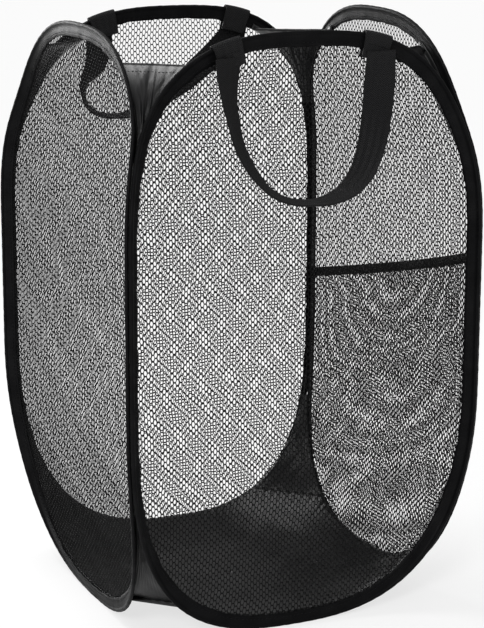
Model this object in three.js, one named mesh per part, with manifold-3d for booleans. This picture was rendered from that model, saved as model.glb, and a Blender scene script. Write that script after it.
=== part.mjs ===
import * as THREE from "three";
import { mergeGeometries, mergeVertices } from "three/addons/utils/BufferGeometryUtils.js";
import Module from "manifold-3d";

// A pop-up laundry hamper: four spring-wire hoops in fabric casings stand as a square, each hoop holds a
// net wall, and a nylon floor, four corner gussets, two webbing handles and a net pocket are sewn to them.
// Millimetres, +Z up. The origin is on the floor under the hamper's middle, and -Y is its front.
const wasm = await Module();
wasm.setup();

// Whole hamper
const hamperWidth = 356; // across two opposite hoops, where they bulge most
const hamperHeight = 560; // floor to the crown of a hoop
const crownLean = 24; // how far a hoop's crown leans in from its middle
const footLean = 30; // how far its foot leans in
const crownRoundnessShare = 1; // of the lean's curve: 1 is a straight line, 2 is a parabola
const footRoundnessShare = 2.2;
const joinShare = 4; // how sharply a hoop leaves its neighbour where the corner opens
const pieceGap = 0.3; // between pieces that touch

// Hoops: a rounded rectangle whose sides follow a power curve, with a short straight run in each side
const hoopRoundnessShare = 2.7; // 2 is an ellipse, more is squarer
const hoopStraight = 124;
const hoopStraightLift = 16; // the straight run's middle, above the hoop's middle
const hoopSteps = 40;
const seamTries = 8;
const wireDiameter = 2.2;
const wireSides = 6;
const wireEndGap = 1; // between the wire's two ends, inside the ferrule
const ferruleLength = 18;
const ferruleWall = 0.5;

// Casings: a tape folded round the wire, whose two layers meet in a flange along the seam
const casingWidth = 14;
const tapeThickness = 0.6;
const flangeGap = 0.6; // between the two layers, where the wall is sewn in
const casingSpacing = 1; // between the casings of two neighbours, side by side at a corner
const finAngle = Math.PI / 4; // a casing turns this far out of its wall, halfway up
const finRoundnessShare = 4; // more keeps it turned for longer towards the crown and the foot

// Net walls
const netThickness = 1;
const netRim = 6;
const netStrand = 4.5;
const netCellWidth = 62;
const netCellHeight = 76;
const smallestCellShare = 0.2; // of a whole cell's area: smaller ones at the rim stay closed

// Floor
const floorThickness = 1.2;
const earTop = 130; // height where the floor's four ears end between the hoops
const floorEdgeTop = 34; // height on the seams where an ear turns into the floor
const floorRestShare = 0.5; // of the way out from the middle that lies flat on the ground
const floorRiseShare = 1.6;
const floorRingShares = [0.72, 0.88];
const earSteps = 5;
const earColumns = 4;
const floorEdgeSteps = 8;

// Corner gussets at the mouth
const gussetThickness = 0.8;
const gussetBottomShare = 0.805; // of the hamper's height, where a gusset starts
const gussetTopShare = 0.948; // and where its hem ends
const hemHeight = 7;
const hemThickness = 1.8;
const gussetSag = 5;
const gussetRows = 7;
const gussetColumns = 6;

// Handles: webbing that hangs in a loop from two anchors folded over the rim
const strapWidth = 28;
const strapThickness = 1.8;
const handleHalfSpan = 70;
const handleDrop = 128;
const handleRoundnessShare = 2.3;
const handleSteps = 44;
const handleClearance = 6; // between the wall and the strap's nearest edge, at the bottom of the loop
const twistShare = 0.75; // of half the loop, from an anchor, in which the strap turns on edge
const anchorThickness = 1.6;
const anchorPlay = 1.1; // between an anchor and the casing inside it
const anchorTail = 8; // how far an anchor's ends reach past the seam
const handlePlay = 1; // between a handle's end and the anchor behind it

// Pocket on the right wall, with a sloping bound edge
const pocketTopFront = 352;
const pocketTopBack = 268;
const pocketSag = 3; // of its edge, below the straight line between its ends
const pocketBulge = 16;
const pocketInset = 1.5; // of the pocket inside the wall's own outline
const pocketEdgeSteps = 12;
const bindingHeight = 10;
const bindingThickness = 0.8;
const bindingGrip = 6; // how far the binding reaches over the net's edge
const bindingPlay = 0.9; // between the binding and the net inside it

// Sizes that follow from those
const halfTurn = Math.PI;
const quarterTurn = Math.PI / 2;
const sixthTurn = Math.PI / 3;
const halfHeight = hamperHeight / 2;
const wallPlane = hamperWidth / 2;
const ferruleInner = wireDiameter / 2 + pieceGap;
const ferruleOuter = ferruleInner + ferruleWall;
const boreRadius = ferruleOuter + pieceGap;
const beadRadius = boreRadius + tapeThickness;
const beadCentre = casingWidth - beadRadius;
const casingHalf = flangeGap / 2 + tapeThickness;
const hoopHalfWidth = wallPlane - Math.SQRT2 * (beadRadius + casingSpacing / 2);
const straightTop = hoopStraightLift + hoopStraight / 2;
const straightBottom = hoopStraightLift - hoopStraight / 2;
const gussetBottom = gussetBottomShare * hamperHeight;
const gussetTop = gussetTopShare * hamperHeight;
const angleNudge = Math.PI / 2000;
const heightNudge = hamperHeight / 2000;

const blackTape = { color: 0x141414, roughness: 0.8, metalness: 0 };
const blackNet = { color: 0x1c1c1c, roughness: 0.7, metalness: 0 };
const blackNylon = { color: 0x202022, roughness: 0.4, metalness: 0 };
const blackWebbing = { color: 0x101010, roughness: 0.75, metalness: 0 };
const springSteel = { color: 0x8a8d90, roughness: 0.35, metalness: 1 };
const zincedSteel = { color: 0xa8abac, roughness: 0.45, metalness: 1 };

const inwards = new THREE.Vector3(0, 1, 0); // a wall's own axes: x along it, y into the hamper, z up

function mesh(name, geometry, finish) {
  const made = new THREE.Mesh(geometry, new THREE.MeshStandardMaterial(finish));
  made.name = name;
  return made;
}

function solidOf(geometry) {
  const bare = geometry.clone();
  bare.deleteAttribute("normal");
  bare.deleteAttribute("uv");
  const merged = mergeVertices(bare);
  return new wasm.Manifold(
    new wasm.Mesh({
      numProp: 3,
      vertProperties: merged.attributes.position.array,
      triVerts: new Uint32Array(merged.index.array),
    }),
  );
}

function geometryOf(solid) {
  const { vertProperties, triVerts } = solid.getMesh();
  const geometry = new THREE.BufferGeometry();
  geometry.setAttribute("position", new THREE.BufferAttribute(new Float32Array(vertProperties), 3));
  geometry.setIndex(new THREE.BufferAttribute(new Uint32Array(triVerts), 1));
  return geometry;
}

// A closed loop of points in each section, joined to the next section's: a ring where closed is true,
// and otherwise a bar with a flat end on its first and last sections. Where a flat bar twists, the second
// half of its faces is split the other way, so that its two sides bow alike and it keeps its thickness.
function loft(sections, closed, twists = false) {
  const across = sections[0].length;
  const points = sections.flat();
  const faces = [];
  const spans = closed ? sections.length : sections.length - 1;
  for (let i = 0; i < spans; i++) {
    const here = i * across;
    const next = ((i + 1) % sections.length) * across;
    for (let j = 0; j < across; j++) {
      const k = (j + 1) % across;
      if (twists && j >= across / 2) {
        faces.push(here + j, here + k, next + k, here + j, next + k, next + j);
      } else {
        faces.push(here + j, here + k, next + j, here + k, next + k, next + j);
      }
    }
  }
  if (!closed) {
    const last = points.length - across;
    for (const [a, b, c] of endFaces(sections[0])) faces.push(c, b, a);
    for (const [a, b, c] of endFaces(sections.at(-1))) faces.push(last + a, last + b, last + c);
  }
  const geometry = new THREE.BufferGeometry().setFromPoints(points);
  geometry.setIndex(faces);
  return geometry;
}

// The triangles that close a section, found in the plane that it lies in.
function endFaces(section) {
  const [origin, first] = section;
  const right = first.clone().sub(origin).normalize();
  const normal = new THREE.Vector3();
  section.forEach((point, i) => {
    const next = section[(i + 1) % section.length];
    normal.add(point.clone().sub(origin).cross(next.clone().sub(origin)));
  });
  const up = normal.normalize().clone().cross(right);
  const flat = section.map((point) => {
    const step = point.clone().sub(origin);
    return new THREE.Vector2(step.dot(right), step.dot(up));
  });
  return THREE.ShapeUtils.triangulateShape(flat, []);
}

// An open surface given a thickness: halved to each side of it, with walls along its free edges.
function thicken(surface, thicknessAt) {
  const sheet = mergeVertices(surface);
  sheet.computeVertexNormals();
  const place = sheet.attributes.position;
  const normal = sheet.attributes.normal;
  const index = [...sheet.index.array];
  const points = [];
  for (const side of [1, -1])
    for (let i = 0; i < place.count; i++) {
      const point = new THREE.Vector3().fromBufferAttribute(place, i);
      const lift = new THREE.Vector3().fromBufferAttribute(normal, i);
      points.push(point.addScaledVector(lift, (side * thicknessAt(point)) / 2));
    }
  const under = place.count;
  const faces = [...index];
  const edges = new Set();
  for (let i = 0; i < index.length; i += 3) {
    const [a, b, c] = index.slice(i, i + 3);
    faces.push(under + a, under + c, under + b);
    for (const edge of [[a, b], [b, c], [c, a]]) edges.add(edge.join());
  }
  for (const edge of edges) {
    const [a, b] = edge.split(",").map(Number);
    if (!edges.has([b, a].join())) faces.push(a, under + a, b, b, under + a, under + b);
  }
  const geometry = new THREE.BufferGeometry().setFromPoints(points);
  geometry.setIndex(faces);
  return geometry;
}

// A grid of points joined into a surface. rows is a list of rows, each a list of points.
function gridSurface(rows) {
  const across = rows[0].length;
  const faces = [];
  for (let i = 0; i + 1 < rows.length; i++)
    for (let j = 0; j + 1 < across; j++) {
      const here = i * across + j;
      const next = here + across;
      faces.push(here, here + 1, next, here + 1, next + 1, next);
    }
  const geometry = new THREE.BufferGeometry().setFromPoints(rows.flat());
  geometry.setIndex(faces);
  return geometry;
}

// A polyline as a curve whose equal steps fall on its own points.
class PointPath extends THREE.Curve {
  constructor(points) {
    super();
    this.points = points;
  }
  getPoint(share, target = new THREE.Vector3()) {
    const spans = this.points.length - 1;
    const i = Math.min(Math.floor(share * spans), spans - 1);
    return target.lerpVectors(this.points[i], this.points[i + 1], share * spans - i);
  }
  getUtoTmapping(share) {
    return share;
  }
}

// Hoop outline

function spread(value, roundness) {
  return Math.sign(value) * Math.abs(value) ** (2 / roundness);
}

// How far the hoop's side has come in from its widest, at a height above the hoop's middle.
function narrowing(height) {
  return hoopHalfWidth * (1 - spread(Math.cos(angleAtHeight(height)), hoopRoundnessShare));
}

// Two neighbours stay side by side as long as each leans in as much as the other narrows. Further up and
// down they lean less than that, so the corner between them opens.
function leanAt(height) {
  const rise = Math.abs(height / halfHeight);
  const open = height > 0 ? crownLean * rise ** crownRoundnessShare : footLean * rise ** footRoundnessShare;
  return (narrowing(height) ** -joinShare + open ** -joinShare) ** (-1 / joinShare);
}

// A point of the hoop's outer edge. The angle starts at the wall's right side and goes up and over.
function hoopEdge(angle) {
  const along = hoopHalfWidth * spread(Math.cos(angle), hoopRoundnessShare);
  const rise = spread(Math.sin(angle), hoopRoundnessShare);
  const height =
    rise < 0 ? straightBottom + (halfHeight + straightBottom) * rise : straightTop + (halfHeight - straightTop) * rise;
  return new THREE.Vector3(along, leanAt(height), height);
}

// The angle where the hoop's right side reaches a height above the hoop's middle.
function angleAtHeight(height) {
  const rise =
    height < straightBottom
      ? (height - straightBottom) / (halfHeight + straightBottom)
      : Math.max(0, height - straightTop) / (halfHeight - straightTop);
  return Math.asin(Math.sign(rise) * Math.min(1, Math.abs(rise)) ** (hoopRoundnessShare / 2));
}

// The angle where its seam reaches a height, found by a few corrections of the edge's own.
function seamAngle(height) {
  let angle = angleAtHeight(height);
  for (let i = 0; i < seamTries; i++) {
    const frame = hoopFrame(angle);
    angle = angleAtHeight(height + frame.edge.z - frame.seam.z);
  }
  return angle;
}

function angleAtReach(reach) {
  return Math.acos((reach / hoopHalfWidth) ** (hoopRoundnessShare / 2));
}

// How the casing stands at an angle of the hoop: fin points from the seam to the outer edge, along
// follows the hoop, and inside faces into the hamper.
function hoopFrame(angle) {
  const edge = hoopEdge(angle);
  const along = hoopEdge(angle + angleNudge).sub(hoopEdge(angle - angleNudge)).normalize();
  const [above, below] = [1, -1].map((side) => edge.z + side * heightNudge);
  const slope = (leanAt(above) - leanAt(below)) / (above - below);
  const inPlane = inwards.clone().cross(along).normalize();
  inPlane.addScaledVector(inwards, slope * inPlane.z).normalize();
  const turn = finAngle * (1 - Math.min(1, Math.abs(edge.z) / halfHeight) ** finRoundnessShare);
  const fin = inPlane.multiplyScalar(Math.cos(turn)).addScaledVector(inwards, -Math.sin(turn));
  fin.addScaledVector(along, -fin.dot(along)).normalize();
  const inside = along.clone().cross(fin).normalize();
  const seam = edge.clone().addScaledVector(fin, -casingWidth);
  return { edge, along, fin, inside, seam, turn };
}

// A point beside the hoop: out along the casing from its seam, and in towards the hamper.
function besideHoop(frame, out, inward) {
  return frame.seam.clone().addScaledVector(frame.fin, out).addScaledVector(frame.inside, inward);
}

// Half a step to each side of the foot, so that the hoop stands on a straight stretch.
const hoopFrames = Array.from({ length: hoopSteps }, (_, i) =>
  hoopFrame(-quarterTurn + (2 * halfTurn * (i + 1 / 2)) / hoopSteps),
);

// How deep a wall lies behind the hoops' outer plane at each height, read off the seam.
const seamSide = Array.from({ length: 2 * hoopSteps + 1 }, (_, i) =>
  hoopFrame(-quarterTurn + (halfTurn * i) / (2 * hoopSteps)).seam,
);

function wallDepth(height) {
  const above = seamSide.findIndex((point) => point.z > height);
  if (above === 0) return seamSide[0].y;
  if (above < 0) return seamSide.at(-1).y;
  const [low, high] = [seamSide[above - 1], seamSide[above]];
  return low.y + ((high.y - low.y) * (height - low.z)) / (high.z - low.z);
}

// Wire, ferrule and casing

const wireCentres = hoopFrames.map((frame) => besideHoop(frame, beadCentre, 0));
const wireJoint = wireCentres[0].clone().lerp(wireCentres.at(-1), 1 / 2);

function wireHoop() {
  const start = wireJoint.clone().add(new THREE.Vector3(wireEndGap / 2, 0, 0));
  const end = wireJoint.clone().add(new THREE.Vector3(-wireEndGap / 2, 0, 0));
  const section = new THREE.Shape();
  section.absarc(0, 0, wireDiameter / 2, 0, 2 * halfTurn);
  const points = [start, ...wireCentres, end];
  return new THREE.ExtrudeGeometry(section, {
    steps: points.length - 1,
    curveSegments: wireSides / 2,
    bevelEnabled: false,
    extrudePath: new PointPath(points),
  });
}

function ferrule() {
  const section = new THREE.Shape();
  section.absarc(0, 0, ferruleOuter, 0, 2 * halfTurn);
  const hole = new THREE.Path();
  hole.absarc(0, 0, ferruleInner, 0, 2 * halfTurn, true);
  section.holes.push(hole);
  const made = new THREE.ExtrudeGeometry(section, {
    depth: ferruleLength,
    curveSegments: wireSides,
    bevelEnabled: false,
  });
  made.translate(0, 0, -ferruleLength / 2).rotateY(quarterTurn);
  return made.translate(wireJoint.x, wireJoint.y, wireJoint.z);
}

// The tape's section: [along the fin from the seam, inwards]. It goes out along one layer, round the
// wire and back along the other, then returns inside by the same way.
function casingSection() {
  const outside = beadSide(beadRadius, casingHalf);
  const bore = beadSide(boreRadius, flangeGap / 2);
  return [[0, -casingHalf], ...outside, [0, casingHalf], [0, flangeGap / 2], ...bore.reverse(), [0, -flangeGap / 2]];
}

// Six flats round the wire at a radius, open on the flange's side, where the layers lie half a gap off
// the middle.
function beadSide(radius, half) {
  const corner = radius / Math.cos(sixthTurn / 2);
  const neck = beadCentre - corner + half * Math.tan(sixthTurn / 2);
  const round = [-2, -1, 0, 1, 2].map((i) => [
    beadCentre + corner * Math.cos(i * sixthTurn),
    corner * Math.sin(i * sixthTurn),
  ]);
  return [[neck, -half], ...round, [neck, half]];
}

function casing() {
  const section = casingSection();
  return loft(hoopFrames.map((frame) => section.map(([out, inward]) => besideHoop(frame, out, inward))), true);
}

// Net walls

// The wall's outline inside the seam, drawn in at every side by an extra inset.
function wallOutline(inset) {
  return hoopFrames.map((frame) => {
    const edge = pieceGap + casingHalf * Math.sin(frame.turn) + inset;
    const normal = new THREE.Vector2(frame.along.z, -frame.along.x).normalize();
    return new THREE.Vector2(frame.seam.x - normal.x * edge, frame.seam.z - normal.y * edge);
  });
}

function plate(outline, thickness) {
  return solidOf(new THREE.ExtrudeGeometry(new THREE.Shape(outline), { depth: thickness, bevelEnabled: false }));
}

// Diamond holes in a staggered lattice that covers the whole wall.
function netHoles() {
  const halfWide = netCellWidth / 2 - netStrand / 2;
  const halfHigh = netCellHeight / 2 - netStrand / 2;
  const columns = Math.ceil(hamperWidth / netCellWidth);
  const rows = Math.ceil(hamperHeight / netCellHeight);
  const holes = [];
  for (let row = -rows; row <= rows; row++)
    for (let column = -columns; column <= columns; column++) {
      const across = (column + (row % 2 ? 1 / 2 : 0)) * netCellWidth;
      const up = (row * netCellHeight) / 2;
      const diamond = new THREE.Shape([
        new THREE.Vector2(across + halfWide, up),
        new THREE.Vector2(across, up + halfHigh),
        new THREE.Vector2(across - halfWide, up),
        new THREE.Vector2(across, up - halfHigh),
      ]);
      const hole = new THREE.ExtrudeGeometry(diamond, { depth: 3 * netThickness, bevelEnabled: false });
      holes.push(hole.translate(0, 0, -netThickness));
    }
  return solidOf(mergeGeometries(holes));
}

// Opens the cells that lie inside the rim. Those that the rim leaves too small stay closed.
function openCells(sheet, insideRim) {
  const wholeCell = ((netCellWidth - netStrand) * (netCellHeight - netStrand) * netThickness) / 2;
  let net = sheet;
  for (const cell of netHoles().intersect(insideRim).decompose())
    if (cell.volume() > smallestCellShare * wholeCell) net = net.subtract(throughCell(cell));
  return net;
}

// A clipped cell made taller than the net, so that it cuts right through.
function throughCell(cell) {
  return cell.scale([1, 1, 3]).translate([0, 0, -netThickness]);
}

// Stands a flat net up in its wall: its height becomes z, and depthAt says how deep each point lies.
function standUp(net, depthAt) {
  const geometry = geometryOf(net);
  const place = geometry.attributes.position;
  for (let i = 0; i < place.count; i++) {
    const [x, z, layer] = [place.getX(i), place.getY(i), place.getZ(i)];
    place.setXYZ(i, x, depthAt(x, z) - layer, z);
  }
  return geometry;
}

function wallNet() {
  const sheet = plate(wallOutline(0), netThickness);
  return standUp(openCells(sheet, plate(wallOutline(netRim), netThickness)), (x, z) => wallDepth(z));
}

// Pocket, on the outside of the right wall

function pocketTop(along) {
  const share = along / (2 * wallPlane) + 1 / 2; // 0 at the hamper's front, 1 at its back
  const sag = 4 * pocketSag * share * (1 - share);
  return pocketTopFront + (pocketTopBack - pocketTopFront) * share - sag - halfHeight;
}

// Half the wall's width at a height, inside the seam.
function wallReach(height) {
  const frame = hoopFrame(angleAtHeight(height));
  return frame.seam.x;
}

function pocketDepth(along, height) {
  const sideways = 1 - Math.min(1, Math.abs(along) / wallReach(height)) ** 2;
  const upwards = Math.min(1, (height + halfHeight) / (pocketTop(along) + halfHeight));
  const standOff = pieceGap + (bindingPlay + bindingThickness + pieceGap) * upwards;
  return wallDepth(height) - netThickness - standOff - pocketBulge * sideways * upwards ** 2;
}

function belowPocketTop(outline, drop) {
  const beyond = hamperWidth;
  const low = -hamperHeight;
  const cut = [];
  for (let i = 0; i <= pocketEdgeSteps; i++) {
    const along = wallPlane - (2 * wallPlane * i) / pocketEdgeSteps;
    cut.push(new THREE.Vector2(along, pocketTop(along) - drop));
  }
  cut.push(new THREE.Vector2(-beyond, pocketTop(-wallPlane) - drop), new THREE.Vector2(-beyond, low));
  cut.push(new THREE.Vector2(beyond, low), new THREE.Vector2(beyond, pocketTop(wallPlane) - drop));
  return plate(outline, netThickness).intersect(plate(cut, netThickness));
}

function pocketNet() {
  const sheet = belowPocketTop(wallOutline(pocketInset), bindingHeight - bindingGrip);
  const insideRim = belowPocketTop(wallOutline(pocketInset + netRim), bindingHeight + netRim);
  return standUp(openCells(sheet, insideRim), pocketDepth);
}

// A tape folded over the pocket's edge, along the slope from the front to the back.
function pocketBinding() {
  const slot = netThickness / 2 + bindingPlay;
  const half = slot + bindingThickness;
  const section = [
    [half, -bindingHeight],
    [half, 0],
    [-half, 0],
    [-half, -bindingHeight],
    [-slot, -bindingHeight],
    [-slot, -bindingThickness],
    [slot, -bindingThickness],
    [slot, -bindingHeight],
  ];
  const low = Math.min(pocketTopFront, pocketTopBack) - halfHeight;
  const reach = wallReach(low) - 2 * pocketInset - casingHalf;
  const sections = [];
  for (let i = 0; i <= pocketEdgeSteps; i++) {
    const along = -reach + (2 * reach * i) / pocketEdgeSteps;
    const top = pocketTop(along) + pieceGap;
    sections.push(
      section.map(([inward, up]) => {
        const depth = pocketDepth(along, top + up) - netThickness / 2;
        return new THREE.Vector3(along, depth + inward, top + up);
      }),
    );
  }
  return loft(sections, false);
}

// Handles

const anchorAngle = angleAtReach(handleHalfSpan);
const anchorFrame = hoopFrame(anchorAngle);
const anchorInner = beadRadius + anchorPlay;
const anchorOuter = anchorInner + anchorThickness;
const handleStart = besideHoop(anchorFrame, 0, -(anchorOuter + handlePlay + strapThickness / 2));

// The strap end folded over the rim: down the outside as far as the loop hangs, down the inside to the net.
function anchor(angle) {
  const frame = hoopFrame(angle);
  const neck = beadCentre - 2 * beadRadius;
  const tip = casingWidth + anchorPlay;
  const inner = [
    [-anchorTail, -anchorInner],
    [beadCentre + beadRadius / 2, -anchorInner],
    [tip, -anchorInner / 2],
    [tip, anchorInner / 2],
    [beadCentre + beadRadius / 2, anchorInner],
    [beadCentre - beadRadius, anchorInner],
    [neck, casingHalf + anchorPlay],
    [-anchorTail, casingHalf + anchorPlay],
  ];
  const outer = [
    [-anchorTail, casingHalf + anchorPlay + anchorThickness],
    [neck, casingHalf + anchorPlay + anchorThickness],
    [beadCentre - beadRadius, anchorOuter],
    [beadCentre + beadRadius / 2 + anchorThickness / 2, anchorOuter],
    [tip + anchorThickness, anchorInner / 2 + anchorThickness / 2],
    [tip + anchorThickness, -anchorInner / 2 - anchorThickness / 2],
    [beadCentre + beadRadius / 2 + anchorThickness / 2, -anchorOuter],
    [-anchorTail, -anchorOuter],
  ];
  const outline = [...inner, ...outer].map(([out, inward]) => new THREE.Vector2(out, inward));
  const made = new THREE.ExtrudeGeometry(new THREE.Shape(outline), { depth: strapWidth, bevelEnabled: false });
  made.translate(0, 0, -strapWidth / 2);
  const stand = new THREE.Matrix4().makeBasis(frame.fin, frame.inside, frame.along).setPosition(frame.seam);
  return made.applyMatrix4(stand);
}

function smooth(share) {
  const held = Math.min(1, Math.max(0, share));
  return held * held * (3 - 2 * held);
}

// The loop's middle line at a turn from one anchor, 0, to the other, half a turn.
function handlePoint(turn) {
  const along = -handleHalfSpan * spread(Math.cos(turn), handleRoundnessShare);
  const height = handleStart.z - handleDrop * spread(Math.sin(turn), handleRoundnessShare);
  const share = Math.min(turn, halfTurn - turn) / quarterTurn;
  const startOff = wallDepth(handleStart.z) - netThickness - handleStart.y;
  const off = startOff + (strapWidth / 2 + handleClearance - startOff) * smooth(share / twistShare);
  return new THREE.Vector3(along, wallDepth(height) - netThickness - off, height);
}

function handle() {
  const sections = [];
  for (let i = 0; i <= handleSteps; i++) {
    const turn = (halfTurn * i) / handleSteps;
    const share = Math.min(turn, halfTurn - turn) / quarterTurn;
    const twist = quarterTurn * smooth(share / twistShare);
    const centre = handlePoint(turn);
    const ahead = handlePoint(Math.min(halfTurn, turn + angleNudge));
    const along = ahead.sub(handlePoint(Math.max(0, turn - angleNudge))).normalize();
    const away = inwards.clone().cross(along).normalize(); // from the loop's middle, in the wall's plane
    const outward = away.clone().cross(along).normalize();
    const wide = away.clone().multiplyScalar(Math.cos(twist)).addScaledVector(outward, Math.sin(twist));
    const thick = along.clone().cross(wide).normalize();
    const corners = [[1, 1], [-1, 1], [-1, -1], [1, -1]];
    sections.push(
      corners.map(([a, b]) =>
        centre.clone().addScaledVector(wide, (a * strapWidth) / 2).addScaledVector(thick, (b * strapThickness) / 2),
      ),
    );
  }
  return loft(sections, false, true);
}

// Gussets and floor, built for the front right corner and turned to the others

const sheetInset = casingHalf + pieceGap;

// A point inside the front wall's right seam, in the hamper's own frame, and its mirror on the right wall.
function cornerPair(angle, thickness) {
  const point = besideHoop(hoopFrame(angle), 0, sheetInset + thickness / 2);
  const front = new THREE.Vector3(point.x, point.y - wallPlane, point.z + halfHeight);
  return [front, new THREE.Vector3(-front.y, -front.x, front.z)];
}

function between(from, to, steps) {
  return Array.from({ length: steps + 1 }, (_, i) => from + ((to - from) * i) / steps);
}

function gusset() {
  const hem = gussetTop - hemHeight;
  const heights = [...between(gussetBottom, hem, gussetRows - 1), hem + hemThickness / 2, gussetTop];
  const rows = heights.map((height) => {
    const [front, right] = cornerPair(seamAngle(height - halfHeight), hemThickness);
    const sag = gussetSag * (height - gussetBottom) / (gussetTop - gussetBottom);
    return between(0, 1, gussetColumns).map((share) => {
      const point = front.clone().lerp(right, share);
      const slack = sag * Math.sin(share * halfTurn);
      return point.add(new THREE.Vector3(-slack / Math.SQRT2, slack / Math.SQRT2, 0));
    });
  });
  return thicken(gridSurface(rows), (point) => (point.z > hem + pieceGap ? hemThickness : gussetThickness));
}

// The floor is one sheet: a bottom that lies flat in the middle and rises to the hoops' seams, with an
// ear at each corner that goes up between two hoops.
function floorSheet() {
  const earAngles = between(seamAngle(earTop - halfHeight), seamAngle(floorEdgeTop - halfHeight), earSteps);
  const edgeAngles = between(earAngles.at(-1), -halfTurn - earAngles.at(-1), floorEdgeSteps);
  const surfaces = [];
  const rim = [];
  for (let corner = 0; corner < 4; corner++) {
    const turned = (point) => point.clone().applyAxisAngle(new THREE.Vector3(0, 0, 1), corner * quarterTurn);
    const rows = earAngles.map((angle) => {
      const [front, right] = cornerPair(angle, floorThickness);
      return between(0, 1, earColumns).map((share) => turned(front.clone().lerp(right, share)));
    });
    surfaces.push(gridSurface(rows));
    const edge = edgeAngles.slice(1, -1).map((angle) => turned(cornerPair(angle, floorThickness)[0]));
    rim.push(...edge.reverse(), ...rows.at(-1));
  }
  const middle = new THREE.Vector3(0, 0, floorThickness / 2);
  const rings = [1, ...floorRingShares.toReversed(), floorRestShare].map((share) =>
    rim.map((point) => {
      const rise = Math.max(0, (share - floorRestShare) / (1 - floorRestShare)) ** floorRiseShare;
      return new THREE.Vector3(point.x * share, point.y * share, middle.z + (point.z - middle.z) * rise);
    }),
  );
  for (const ring of rings) ring.push(ring[0].clone());
  surfaces.push(gridSurface(rings));
  const hub = rings.at(-1).map(() => middle.clone());
  surfaces.push(gridSurface([rings.at(-1), hub]));
  return thicken(withoutSlivers(mergeGeometries(surfaces)), () => floorThickness);
}

// Merges equal points and drops the triangles that this leaves with no area.
function withoutSlivers(geometry) {
  const merged = mergeVertices(geometry);
  const index = merged.index.array;
  const kept = [];
  for (let i = 0; i < index.length; i += 3) {
    const [a, b, c] = index.slice(i, i + 3);
    if (a !== b && b !== c && c !== a) kept.push(a, b, c);
  }
  merged.setIndex(kept);
  return merged;
}

// Assembly

// A wall stands on its own axes: x along it, y into the hamper, z from the hoop's middle.
function wall(name, turn) {
  const group = new THREE.Group();
  const parts = new THREE.Group();
  group.rotation.z = turn;
  parts.position.set(0, -wallPlane, halfHeight);
  group.add(parts);
  parts.add(mesh(name + "_wire_hoop", wireHoop(), springSteel));
  parts.add(mesh(name + "_wire_ferrule", ferrule(), zincedSteel));
  parts.add(mesh(name + "_hoop_casing", casing(), blackTape));
  parts.add(mesh(name + "_net_wall", wallNet(), blackNet));
  return { group, parts };
}

function addHandle(parts, name) {
  parts.add(mesh(name + "_handle_strap", handle(), blackWebbing));
  parts.add(mesh(name + "_handle_anchor_right", anchor(anchorAngle), blackWebbing));
  parts.add(mesh(name + "_handle_anchor_left", anchor(halfTurn - anchorAngle), blackWebbing));
}

const hamper = new THREE.Group();
const walls = { front: wall("front", 0), right: wall("right", quarterTurn) };
walls.back = wall("back", halfTurn);
walls.left = wall("left", -quarterTurn);
for (const { group } of Object.values(walls)) hamper.add(group);

addHandle(walls.front.parts, "front");
addHandle(walls.back.parts, "back");
walls.right.parts.add(mesh("pocket_net", pocketNet(), blackNet));
walls.right.parts.add(mesh("pocket_binding", pocketBinding(), blackTape));

hamper.add(mesh("floor_sheet", floorSheet(), blackNylon));
["front_right", "back_right", "back_left", "front_left"].forEach((corner, i) => {
  const made = mesh("gusset_" + corner, gusset(), blackNylon);
  made.rotation.z = i * quarterTurn;
  hamper.add(made);
});

export default hamper;
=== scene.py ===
import math

import bpy
import numpy as np
from mathutils import Matrix


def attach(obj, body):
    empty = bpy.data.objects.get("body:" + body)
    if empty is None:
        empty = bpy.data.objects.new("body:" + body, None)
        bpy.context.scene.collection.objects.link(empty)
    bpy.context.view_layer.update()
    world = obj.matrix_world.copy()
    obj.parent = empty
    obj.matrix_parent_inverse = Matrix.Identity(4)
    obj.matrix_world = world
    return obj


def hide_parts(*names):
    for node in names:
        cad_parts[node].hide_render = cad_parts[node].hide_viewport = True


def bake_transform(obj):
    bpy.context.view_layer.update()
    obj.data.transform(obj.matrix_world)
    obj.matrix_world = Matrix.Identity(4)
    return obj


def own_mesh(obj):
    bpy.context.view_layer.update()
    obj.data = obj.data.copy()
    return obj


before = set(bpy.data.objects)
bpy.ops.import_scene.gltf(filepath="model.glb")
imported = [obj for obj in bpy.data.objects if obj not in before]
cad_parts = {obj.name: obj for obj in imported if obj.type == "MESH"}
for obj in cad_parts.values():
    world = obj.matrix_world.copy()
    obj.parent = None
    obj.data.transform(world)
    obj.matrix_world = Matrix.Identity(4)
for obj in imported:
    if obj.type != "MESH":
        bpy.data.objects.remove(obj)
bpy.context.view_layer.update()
mm = 0.001
scene = bpy.context.scene
scene.view_settings.view_transform = "Standard"
print("frame loaded")

# Camera: fitted to the outlines of the four hoops in the photograph
camera = {
    "place": (-0.7867438, -1.7614224, 0.7216467),  # metres
    "yaw": 0.42553,  # to the right of +Y
    "pitch": 0.23004,  # down
    "roll": 0.0031,
    "lens": 115.42,
    "sensor": 36,
}


def makeCamera(spec):
    yaw, pitch, roll = spec["yaw"], spec["pitch"], spec["roll"]
    ahead = np.array([math.sin(yaw) * math.cos(pitch), math.cos(yaw) * math.cos(pitch), -math.sin(pitch)])
    level = np.array([math.cos(yaw), -math.sin(yaw), 0])
    above = np.cross(level, ahead)
    right = math.cos(roll) * level + math.sin(roll) * above
    up = math.cos(roll) * above - math.sin(roll) * level
    made = bpy.data.objects.new("camera", bpy.data.cameras.new("camera"))
    made.data.sensor_width = spec["sensor"]
    made.data.lens = spec["lens"]
    made.data.clip_start, made.data.clip_end = 0.05, 50
    axes = Matrix(np.stack([right, up, -ahead], 1).tolist()).to_4x4()
    made.matrix_world = Matrix.Translation(spec["place"]) @ axes
    scene.collection.objects.link(made)
    scene.camera = made


makeCamera(camera)


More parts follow.
